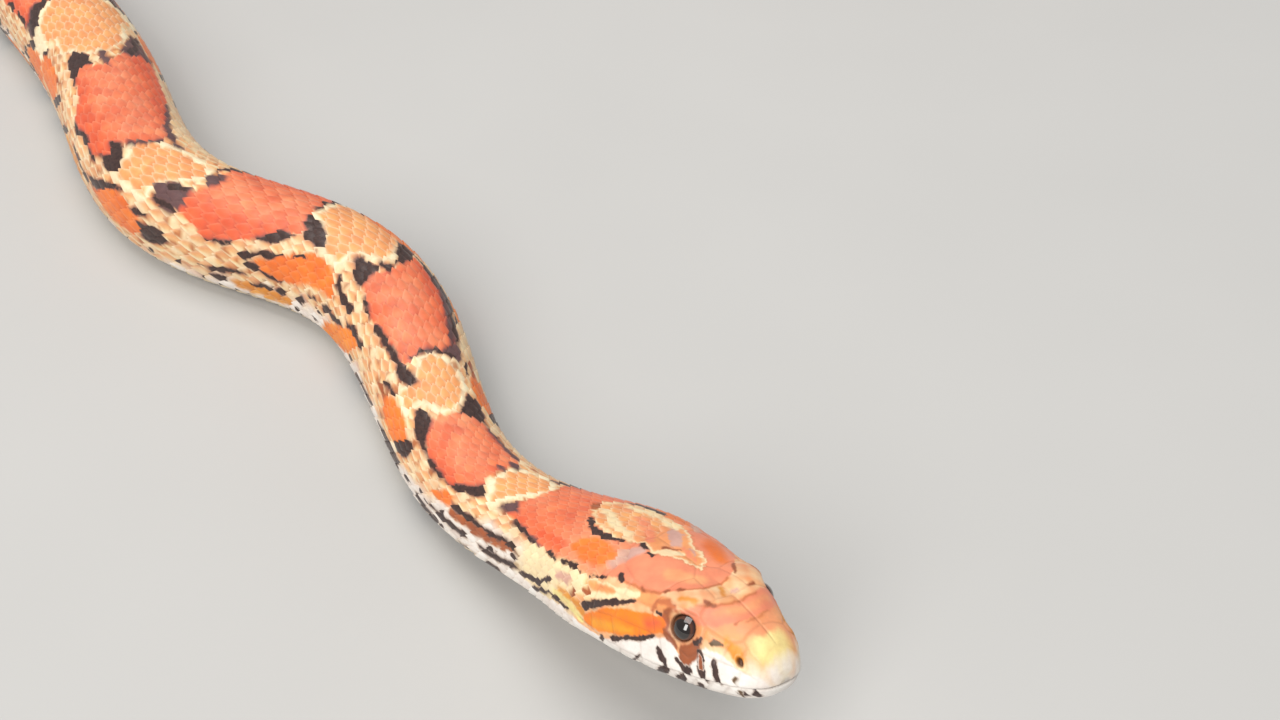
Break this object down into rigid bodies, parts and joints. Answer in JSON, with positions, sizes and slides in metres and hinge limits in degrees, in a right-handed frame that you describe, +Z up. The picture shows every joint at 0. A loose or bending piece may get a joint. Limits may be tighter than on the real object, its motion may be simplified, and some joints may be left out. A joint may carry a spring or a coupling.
{
  "type": "corn snake model",
  "caption": "Life-size still model of an adult corn snake crawling in wide curves, head and neck lifted a little off the ground, mouth shut.",
  "frame": {"origin": "middle of the footprint, on the ground under the belly", "axes": "+Z up; the tail end lies towards +Y and the head towards -Y, turned towards +X"},
  "size_m": [0.3452, 0.4458, 0.0243],
  "materials": {
    "scaled_skin": "smooth glossy scales in orange, red and cream with black borders",
    "eye": "wet gloss, nearly black with a dark red iris"
  },
  "bodies": {
    "root": {"head": "scaled_skin", "lower_jaw": "scaled_skin", "eye_left": "eye", "eye_right": "eye", "neck": "scaled_skin", "body_1": "scaled_skin", "body_2": "scaled_skin", "body_3": "scaled_skin", "body_4": "scaled_skin", "body_5": "scaled_skin", "body_6": "scaled_skin", "body_7": "scaled_skin", "body_8": "scaled_skin", "tail_1": "scaled_skin", "tail_2": "scaled_skin"}
  },
  "joints": []
}
